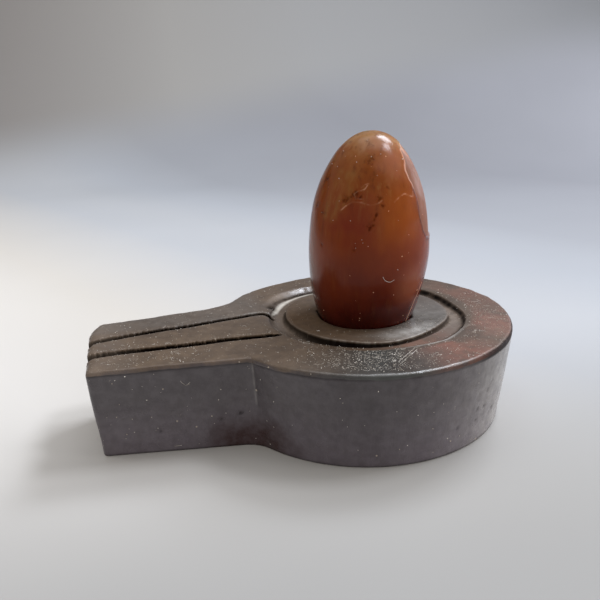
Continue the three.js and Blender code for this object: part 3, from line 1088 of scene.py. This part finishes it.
def loose_dust(g, above, beside):
    """Specks and threads on the top, as thick as the grit there, and specks on the side."""
    grit_here = g["grit"]
    on_top = g.plus(
        g.specks(0.3, 0.08, g.map(grit_here, 0.2, 1, 0, 0.5), flat=True),
        g.specks(0.8, 0.09, g.map(grit_here, 0, 1, 0.08, 0.5), flat=True),
        g.times(g.threads(1.5, 0.02), g.map(grit_here, 0.1, 0.5, 0.2, 0.7)),
    )
    on_side = g.plus(g.specks(0.9, 0.08, 0.16), g.specks(1.6, 0.12, 0.25), g.specks(3.4, 0.17, 0.5))
    return g.plus(g.times(on_top, above), g.times(on_side, beside))


# ---------- dust and lint

GRAIN_TRIES, FIBRE_TRIES = 30000, 3400
GRAIN_RADII, FIBRE_RADII = (0.016, 0.066), (0.009, 0.019)
STUCK_GAIN = 0.03
FIBRE_STEPS, FIBRE_SIDES, LINE_RADIUS = 9, 4, 0.024

# Scratched lines and fibres that show one by one, as points of the plan, and of the side.
TOP_LINES = [
    [(-2.87, -17.77), (-1.83, -16.89), (-0.52, -15.75), (0.84, -14.57)],
    [(-2.88, -18.38), (-1.15, -16.82), (0.8, -15.23)],
    [(16.22, -1.31), (17.18, -1.68)],
    [(-28.96, -2.11), (-28.5, -1.57), (-28.14, -2.34)],
]
SIDE_LINES = [
    [(-29.28, -7.45, 0.85), (-28.39, -7.62, 0.92)],
    [(-27.9, -9.15, 10.66), (-27.24, -9.12, 9.85), (-26.72, -9.27, 10.38)],
]


def scatter(shape, tries, random):
    """Random points of the plan, denser where grit has gathered, clear of the cuts and the egg."""
    plan = random.uniform(shape.rim.min(0), shape.rim.max(0), (tries, 2))
    plan = plan[random.random(tries) < grit(TopPlaces(shape, plan))]
    plan = plan[shape.inside(plan, 0.2) & (np.linalg.norm(plan, axis=1) > SEAT_RADIUS + 0.6)]
    return plan[shape.off_grooves(plan, 1.1)]


def side_places(shape, random):
    """Random points of the side, more of them along the spout."""
    side = shape.side[(shape.side[:, 2] > 0.4) & (shape.side[:, 2] < 12.2)]
    return side[random.random(len(side)) < 0.005 + 0.017 * bell(side[:, 0], -26, 9)]


def grain_parts(shape, random):
    """Lumps of dust: one uneven icosahedron at each scattered place."""
    ball = bmesh.new()
    bmesh.ops.create_icosphere(ball, subdivisions=1, radius=1)
    lump = np.array([v.co[:] for v in ball.verts])
    triangles = np.array([[v.index for v in face.verts] for face in ball.faces])
    ball.free()
    plan = scatter(shape, GRAIN_TRIES, random)
    flecks = place_egg(on_egg(EGG_FLECKS) * [1.001, 1.001, 1])
    places = np.vstack([shape.on_top(plan), side_places(shape, random), flecks])
    radii = between(*GRAIN_RADII, random.uniform(0, 1, len(places))[:, None] ** 3)
    radii[len(plan):] += STUCK_GAIN
    places[: len(plan), 2] += 0.6 * radii[: len(plan), 0]
    sizes = radii * random.uniform(0.6, 1.3, (len(places), 3))
    points = places[:, None, :] + lump * sizes[:, None, :]
    faces = triangles + len(lump) * np.arange(len(places))[:, None, None]
    return points.reshape(-1, 3), faces.reshape(-1, 3).tolist()


def tube(path, radius):
    """A thin closed tube along a path, as points and faces."""
    ahead = unit(np.gradient(path, axis=0))
    side = unit(np.cross(ahead, [0.1, 0.05, 1]))
    up = np.cross(side, ahead)
    turns = np.arange(FIBRE_SIDES) / FIBRE_SIDES * TURN
    round_it = np.cos(turns)[:, None] * side[:, None] + np.sin(turns)[:, None] * up[:, None]
    points = path[:, None] + radius * round_it
    rings = np.arange(len(path) * FIBRE_SIDES).reshape(-1, FIBRE_SIDES)
    outward = np.array(ring_faces(rings))[:, [1, 0, 3, 2]].tolist()
    return points.reshape(-1, 3), [rings[0].tolist(), rings[-1, ::-1].tolist()] + outward


def refine(corners, count):
    """A smoothed path of a number of points through a few corners."""
    path, _ = evenly(corners, count)
    path[1:-1] = (path[:-2] + 2 * path[1:-1] + path[2:]) / 4
    return path


def curled_paths(shape, random):
    """Short random curls of lint that lie level on the top."""
    starts = scatter(shape, FIBRE_TRIES, random)
    count = len(starts)
    bend = random.normal(0, 0.35, (count, 1)) + random.normal(0, 0.4, (count, FIBRE_STEPS))
    heading = random.uniform(0, TURN, (count, 1)) + np.cumsum(bend, axis=1)
    step = random.uniform(0.03, 0.13, (count, 1))
    moves = np.stack([step * np.cos(heading), step * np.sin(heading)], axis=2)
    plans = starts[:, None, :] + np.cumsum(moves, axis=1)
    flat = plans.reshape(-1, 2)
    heights = shape.height(flat).reshape(count, FIBRE_STEPS)
    inside = shape.inside(flat, 0.2).reshape(count, FIBRE_STEPS).all(1)
    level = np.ptp(heights, axis=1) < 0.12
    paths = np.concatenate([plans, heights[:, :, None] + 0.03], axis=2)
    return list(paths[inside & level])


def fibre_parts(shape, random):
    curls = [tube(path, random.uniform(*FIBRE_RADII)) for path in curled_paths(shape, random)]
    lines = [refine(line, FIBRE_STEPS) for line in SIDE_LINES]
    lines += [shape.on_top(refine(line, FIBRE_STEPS), 0.015) for line in TOP_LINES]
    curl = refine(on_egg(EGG_LINT), 2 * FIBRE_STEPS) * [1.003, 1.003, 1] + [EGG_SHIFT, 0, 0]
    return curls + [tube(path, LINE_RADIUS) for path in lines + [place_egg(curl)]]


def make_dust(shape):
    random = np.random.default_rng(101)
    parts = [grain_parts(shape, random)] + fibre_parts(shape, random)
    points, faces = [], []
    total = 0
    for part_points, part_faces in parts:
        faces += [tuple(int(i) + total for i in face) for face in part_faces]
        points.append(part_points)
        total += len(part_points)
    made = make_object("dust_and_lint", np.vstack(points), faces)
    made.data.materials.append(dust_and_lint())
    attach(made, "root")


def dust_and_lint():
    """Pale grains and fibres, some whiter and some browner."""
    g = Graph("dust_and_lint")
    tone = g.ramp(g.noise(0.9, 2), [(0.32, "9c9488"), (0.5, "bab4aa"), (0.68, "dfdbd4")])
    normal = g.bump((g.noise(0.05, 2), 0.006))
    return g.finish(Base_Color=tone, Roughness=0.9, Normal=normal, Specular_IOR_Level=0.2)


# ---------- the egg

EGG_TURNS, EGG_ROWS, EGG_FOOT_ROWS = 384, 240, 10
SEAT_BELOW = -1.2

# Places on the egg are (degrees about its axis, height above the base's top plane).
# The flake: its left edge as (height, degrees), then its right edge in degrees, how slowly it
# deepens from there, its depth and the step at its edge.
FLAKE_EDGE = np.array([
    (11.9, -44), (12.9, -49.4), (14.8, -54.8), (16.3, -55.9), (17.5, -56.9), (18.5, -59.3),
    (19.9, -63.3), (20.9, -64.3), (21.7, -60.1), (22.4, -57.2), (23.3, -54.3), (24, -40), (24.3, -15),
])
FLAKE_RIGHT, FLAKE_FADE, FLAKE_DEPTH, FLAKE_STEP = 38, 0.04, 0.3, 0.2
# Low down, the egg is a little to the left of its own axis.
EGG_SHIFT = SEAT_SHIFT
# Tones from the socket's mouth to the crown: partly the stone's own colour and partly painted light, dark
# low down where little light passes and paler at the lit crown.
EGG_TONES = [
    (0, "2c0a05"), (0.1, "401109"), (0.25, "59200d"), (0.42, "6b2c0e"), (0.6, "72330e"),
    (0.8, "743b10"), (0.92, "804c24"), (1, "946a42"),
]

# Small pits as (degrees, height, reach, depth).
EGG_PITS = [
    (-99.3, 16.7, 0.2, 0.12), (-114.5, 22.1, 0.42, 0.05), (-110.5, 22.3, 0.3, 0.04),
    (-128.3, 17.9, 0.3, 0.05), (-126, 18.3, 0.25, 0.05), (-137.3, 17.3, 0.34, 0.05),
    (-106, 15.6, 0.24, 0.06), (-107.5, 15, 0.22, 0.05), (-111, 14, 0.34, 0.06),
    (-108.5, 14.3, 0.2, 0.05), (-159.1, 11.1, 0.18, 0.09), (-94.4, 19, 0.24, 0.05),
    (-122, 17.7, 0.24, 0.06), (-102.5, 17.6, 0.24, 0.05), (-124.5, 11, 0.16, 0.05),
    (-162.5, 15.3, 0.28, 0.04), (-176, 16, 0.3, 0.04), (-124, 11.5, 0.1, 0.04),
    (150, 15, 0.3, 0.08), (70, 18, 0.3, 0.07), (20, 8, 0.25, 0.07), (-170, 19.5, 0.3, 0.06),
    (110, 12, 0.2, 0.06), (95, 20.5, 0.3, 0.05), (45, 9, 0.3, 0.05), (130, 7.5, 0.2, 0.05),
]
# Fine cracks, a curl of lint, grains of pale dust that stick, and pale streaks inside the stone.
EGG_HAIRS = [
    [(-140, 16), (-136.3, 16.5), (-129.5, 17.1), (-119.6, 17.1), (-111.8, 16.8), (-105, 17), (-100, 17.4)],
    [(-87.5, 17.2), (-81, 17.8), (-75, 18.1), (-69, 17.8), (-63.5, 17.6), (-62.5, 18.2)],
    [(-115.3, 19.2), (-118, 18.7), (-124, 18.5), (-128.5, 18.1), (-126, 17.6), (-119, 17.5)],
    [(-113.6, 19.4), (-117.5, 19.3), (-121.5, 18.9)],
    [(70, 14), (85, 14.6), (100, 14.1), (112, 14.9)],
    [(160, 9), (150, 9.8), (140, 9.6)],
]
EGG_LINT = [(-96.2, 7.66), (-95, 7.3), (-93.1, 7.05), (-90.5, 6.88), (-88.1, 6.89), (-85.2, 7.13)]
EGG_FLECKS = [
    (-164.6, 23.1), (-175.2, 21.4), (-122.6, 24.5), (-132, 21.9), (-79.3, 20.9), (-104.7, 20.4),
    (-63, 22.2), (-147.6, 14.6), (-129.3, 14.8), (-117.9, 12.5), (-123.1, 11.4), (-84.2, 8.5),
    (-164.7, 15.3), (-154.1, 22.5), (-102, 17), (-84.5, 14.9), (-95.5, 18.1), (-143.6, 17.1),
    (-155.5, 16.3), (-123.6, 12), (-116.9, 12.1), (-160, 21.2), (-150.3, 19.8), (-112, 22.6),
    (-98, 22.9), (40, 12), (75, 18), (120, 9), (150, 20), (10, 6.5),
]
EGG_STREAKS = [
    [(-139.1, 20.4), (-140.9, 19.3), (-142.8, 17.9), (-145.1, 16.3), (-147.9, 14.8)],
    [(-150, 20.6), (-154.7, 18.3), (-156.3, 16.7), (-157.6, 15.1)],
    [(-133.6, 20.4), (-133.5, 18.6), (-136.2, 17.3), (-141.9, 16.2)],
    [(60, 21), (64, 18), (62, 15)], [(120, 20), (123, 17), (119, 14)],
]
# The ridge below the flake, with a painted highlight along it, and clouds as (name, place, reach): ember
# and amber lie in the stone, while blush is a painted pinkish haze of reflected light.
EGG_RIDGE = [(-45, 5.6), (-50.9, 3.3), (-52.5, 1.7), (-53.9, 0.2)]
EGG_CLOUDS = [("ember", (-128, 14.7), 2.9), ("amber", (-82, 15.5), 3.4), ("blush", (-80, 22), 2.6)]
# A low patch of blush on the right: painted reflection.
LOW_HAZE = (-66, 6)


def egg_columns():
    """Angles round the egg, closer together over the flake's edge."""
    angles = np.linspace(-math.pi, math.pi, 2000)
    weight = 1 + 1.8 * bell_turn(angles, -56, 11) + 0.5 * bell_turn(angles, -105, 35)
    total = np.r_[0, np.cumsum((weight[1:] + weight[:-1]) / 2)]
    return np.interp(np.arange(EGG_TURNS) / EGG_TURNS * total[-1], total, angles)


def egg_heights():
    """Heights up the egg, few of them where the socket hides it."""
    start = math.asin((SEAT_BELOW - EGG_WIDEST) / EGG_LOWER)
    foot = np.linspace(-math.pi / 2, start, EGG_FOOT_ROWS + 2)[1:-1]
    shown = np.linspace(start, math.pi / 2, EGG_ROWS + 1)[:-1]
    turns = np.r_[foot, shown]
    return EGG_WIDEST + np.where(turns > 0, EGG_UPPER, EGG_LOWER) * np.sin(turns)


def flake_inset(angle, z, radius):
    """How far inside the flake's edge each point is, in millimetres."""
    degrees = np.degrees(angle)
    left = (degrees - np.interp(z, *FLAKE_EDGE.T)) * math.pi / 180 * radius
    right = (FLAKE_RIGHT - degrees) * math.pi / 180 * radius
    ends = np.minimum(z - FLAKE_EDGE[0, 0], (FLAKE_EDGE[-1, 0] - z) * 1.2)
    return np.minimum(np.minimum(left, FLAKE_FADE * right), ends)


def on_egg(places):
    """Points on the egg's plain surface from (degrees, height) places, in the egg's own axes."""
    degrees, z = np.array(places, float).T
    return np.column_stack([from_polar(egg_radius(z), np.radians(degrees)), z])


def stroke(points, places, width):
    """A soft line along places on the egg."""
    return bell(nearest(points, through(on_egg(places), 25))[1], 0, width)


def egg_cuts(plain, angle, z, radius):
    """How deep the flake and the pits go at each point, with the values that colour them."""
    ragged = flake_inset(angle, z, radius) + 0.08 * waves(plain, 1.3, 91) + 0.1 * waves(plain, 4, 92)
    scar = smooth(ragged, -0.04, 0.1)
    cut = FLAKE_STEP * scar + (FLAKE_DEPTH - FLAKE_STEP) * smooth(ragged, 0, 4)
    cut += 0.03 * waves(plain, 2.2, 93) * smooth(ragged, 0.1, 1)
    pits = np.zeros(len(z))
    uneven = np.clip(1 + 0.5 * waves(plain, 0.5, 94), 0.5, 2)
    for degrees, height, reach, depth in EGG_PITS:
        near = bell(away_from(plain, on_egg([(degrees, height)])) * uneven, 0, reach)
        pits = np.maximum(pits, near)
        cut += depth * near
    # Painted shade: a dark line on the shaded side of the flake's lower edge.
    shaded_edge = bell(ragged, -0.14, 0.26) * smooth(-z, -19.4, -18.2)
    # Painted highlights: a pale line along the flake's upper edge and along the ridge below it.
    highlit_edge = bell(ragged, 0, 0.2) * smooth(z, 18, 18.8)
    sharp = 1 - smooth(np.degrees(angle), -44, -22)
    rim = np.maximum(highlit_edge * sharp, 0.7 * stroke(plain, EGG_RIDGE, 0.13))
    # The scar's colour is partly the chipped stone's paler tone and partly painted light on the lit facet.
    scar *= 1 - smooth(np.degrees(angle), -36, 8)
    return cut, {"scar": scar, "pits": pits, "edge_shade": shaded_edge * sharp, "rim": rim}


def egg_values(plain, angle, z):
    """Where the clouds, streaks and cracks lie, and a painted pinkish haze of reflected light."""
    hair = strongest(*(stroke(plain, places, 0.07) for places in EGG_HAIRS))
    hair *= 0.7 + 0.3 * waves(plain, 0.8, 97)
    values = {"hair": hair, "streak": strongest(*(stroke(plain, places, 0.5) for places in EGG_STREAKS))}
    for key, place, reach in EGG_CLOUDS:
        away = away_from(plain, on_egg([place]), [1, 1, 0.9])
        values[key] = 1 - smooth(away + 0.7 * waves(plain, 2.5, 98), reach * 0.1, reach * 1.5)
    low_haze = away_from(plain, on_egg([LOW_HAZE]))
    values["blush"] = np.maximum(values["blush"], 0.65 * (1 - smooth(low_haze, 0.5, 4)))
    values["amber"] = np.maximum(values["amber"], 0.7 * bell_turn(angle, 95, 40) * bell(z, 15, 4))
    return values


def make_egg():
    z, angle = np.meshgrid(egg_heights(), egg_columns(), indexing="ij")
    z, angle = z.ravel(), angle.ravel()
    radius = egg_radius(z)
    plain = np.column_stack([from_polar(radius, angle), z])
    cut, values = egg_cuts(plain, angle, z, radius)
    values.update(egg_values(plain, angle, z))
    above = smooth(z, 0.5, 2.5)
    uneven = 0.035 * waves(plain, 9, 95) + 0.008 * waves(plain, 2.5, 96)
    shrink = 1 - above * (cut - uneven) / np.maximum(radius, 2)
    points = plain * np.column_stack([shrink, shrink, np.ones(len(z))])
    points[:, 0] += EGG_SHIFT * (1 - smooth(z, 1, 10))
    ends = [[0, 0, EGG_WIDEST - EGG_LOWER], [0, 0, EGG_WIDEST + EGG_UPPER]]
    values = {key: np.r_[numbers, 0, 0] for key, numbers in values.items()}
    made = make_object("agate_egg", place_egg(np.vstack([points, ends])), egg_faces(len(points)), values)
    made.data.materials.append(egg_agate())
    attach(made, "root")
    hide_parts("lingam_stone")


def egg_faces(count):
    """Faces of a grid of rings that is closed by a point at its foot and another at its crown."""
    rings = np.arange(count).reshape(-1, EGG_TURNS)
    ahead = np.roll(rings, -1, axis=1)
    foot = [(count, int(j), int(i)) for i, j in zip(rings[0], ahead[0])]
    crown = [(count + 1, int(i), int(j)) for i, j in zip(rings[-1], ahead[-1])]
    return ring_faces(rings) + foot + crown


def place_egg(points):
    """From the egg's own axes to the part's: it leans a little towards +X."""
    lean = math.atan(EGG_LEAN)
    turn = np.array([[math.cos(lean), 0, math.sin(lean)], [0, 1, 0], [-math.sin(lean), 0, math.cos(lean)]])
    return points @ turn.T + [0, 0, BASE_HEIGHT]


def egg_agate():
    """Polished agate: amber and olive brown over dark red, with clouds, streaks and worn pits, and painted
    light: a paler lit crown, highlights and shade at the flake, and a pinkish haze of reflection.
    """
    g = Graph("lingam_agate")
    above_seat = g.node("MapRange", {
        "Value": g.axis("Z"), "From Min": BASE_HEIGHT * MM,
        "From Max": (BASE_HEIGHT + EGG_WIDEST + EGG_UPPER) * MM,
    }).outputs["Result"]
    cloud, streak = g.noise((4.5, 4.5, 6.5), 4, 0.55, 0.4), g.noise((0.9, 0.9, 6), 3, 0.6)
    share = g.plus(above_seat, g.map(cloud, 0.25, 0.75, -0.06, 0.06))
    veins = g.map(share, 0.45, 0.6, 0.15, 1)
    hair = g.patchy("hair", g.noise(0.8, 2), 0.4, 0.6, 0.15, 0.6)
    dust = g.capped(g.plus(g.specks(1.5, 0.12, 0.38), g.specks(0.7, 0.07, 0.16), hair))
    body = g.coats(
        # Partly painted light: darker low down, paler at the lit crown.
        g.ramp(share, EGG_TONES),
        (g.times(g.map(streak, 0.5, 0.72, 0, 0.5), veins), "4a2008"),
        (g.times(g.map(streak, 0.28, 0.45, 0.35, 0), veins), "845c30"),
        (g.patchy("ember", cloud, 0.3, 0.5, 0.5, 0.8), "661f0c"),
        (g.times(g["amber"], 0.6), "874412"),
        # Blush: a painted pinkish haze of reflected light.
        (g.times(g["blush"], 0.55), "8e5840"),
        (g.patchy("streak", streak, 0.35, 0.6, 0.05, 0.4), "85602f"),
        # The scar: partly the chipped stone's tone and partly painted light.
        (g.times(g["scar"], 0.85), "6c4129"),
        # Painted highlights along the flake's upper edge and the ridge.
        (g.times(g["rim"], 0.7), "c4967c"),
        (g.patchy("pits", streak, 0.35, 0.6, 0.45, 0.9), "3d1508"),
        # Painted shade along the flake's lower edge.
        (g.times(g["edge_shade"], 0.9), "3d190b"),
        (g.times(dust, 0.7), "d8a985"),
    )
    haze = g.noise(1.8, 5, 0.65)
    dark = g.math("MAXIMUM", g["edge_shade"], g.capped(g.times(g["pits"], 1.5)))
    polish = g.map(haze, 0.3, 0.7, 0.13, 0.25)
    rough = g.weighed(polish, (g["scar"], 0.3), (dust, 0.3), (dark, 0.15))
    g.shader.subsurface_method = "RANDOM_WALK"
    return g.finish(
        Base_Color=body, Roughness=rough,
        Normal=g.bump((haze, 0.02), (streak, 0.012), (g.noise(0.4, 3, 0.6), 0.005), (dust, 0.03)),
        Specular_IOR_Level=0.21, Specular_Tint=g.gleam(dark),
        Subsurface_Weight=0.3, Subsurface_Radius=(1, 0.3, 0.12), Subsurface_Scale=2.2 * MM,
        Coat_Weight=0.07, Coat_Roughness=0.42,
    )


# ---------- the whole scene

make_camera()
make_stage()
make_lights()
base_shape = BaseShape()
make_base(base_shape)
make_dust(base_shape)
make_egg()
